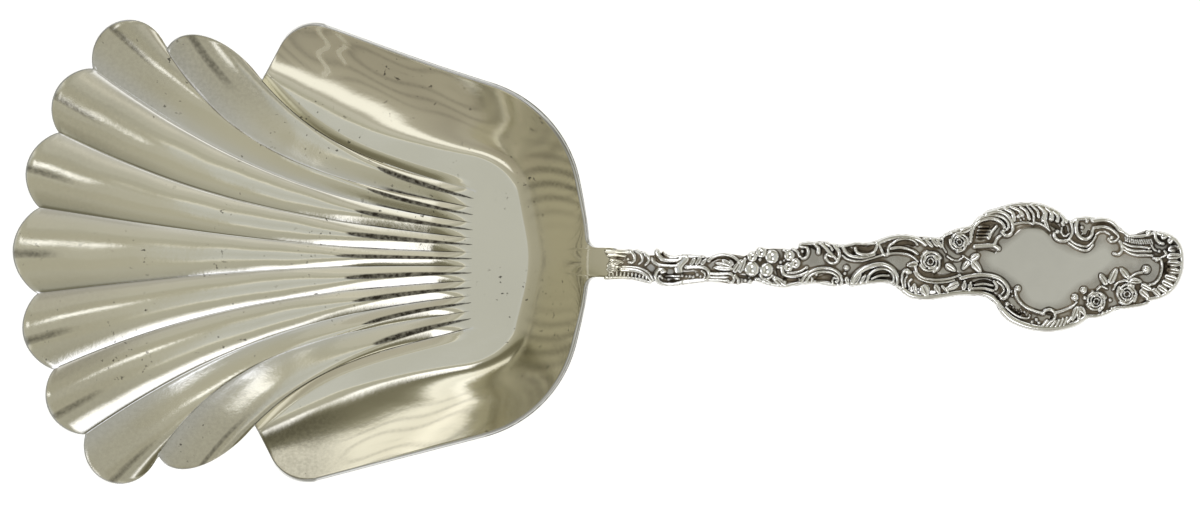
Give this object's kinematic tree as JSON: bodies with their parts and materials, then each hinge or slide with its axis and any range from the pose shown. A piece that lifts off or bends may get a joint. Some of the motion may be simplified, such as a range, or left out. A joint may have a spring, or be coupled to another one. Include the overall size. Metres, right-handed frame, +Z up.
{
  "type": "cracker spoon",
  "caption": "Silver cracker spoon with a broad open shell bowl, fluted and gilt inside, raised side wings and a scrolled rose handle with a plain panel.",
  "frame": {"origin": "middle of the flat underside of the bowl's floor, on the table", "axes": "+X along the handle towards its tip, +Y across the bowl, +Z up out of the bowl"},
  "size_m": [0.2158, 0.0856, 0.0183],
  "materials": {
    "gilt_silver": "polished silver with a pale gilt wash inside, lightly worn",
    "silver": "polished silver, dark in the recesses of the ornament",
    "silver_solder": "dull silver solder"
  },
  "bodies": {
    "root": {"bowl": "gilt_silver", "handle": "silver", "solder_seam": "silver_solder"}
  },
  "joints": []
}
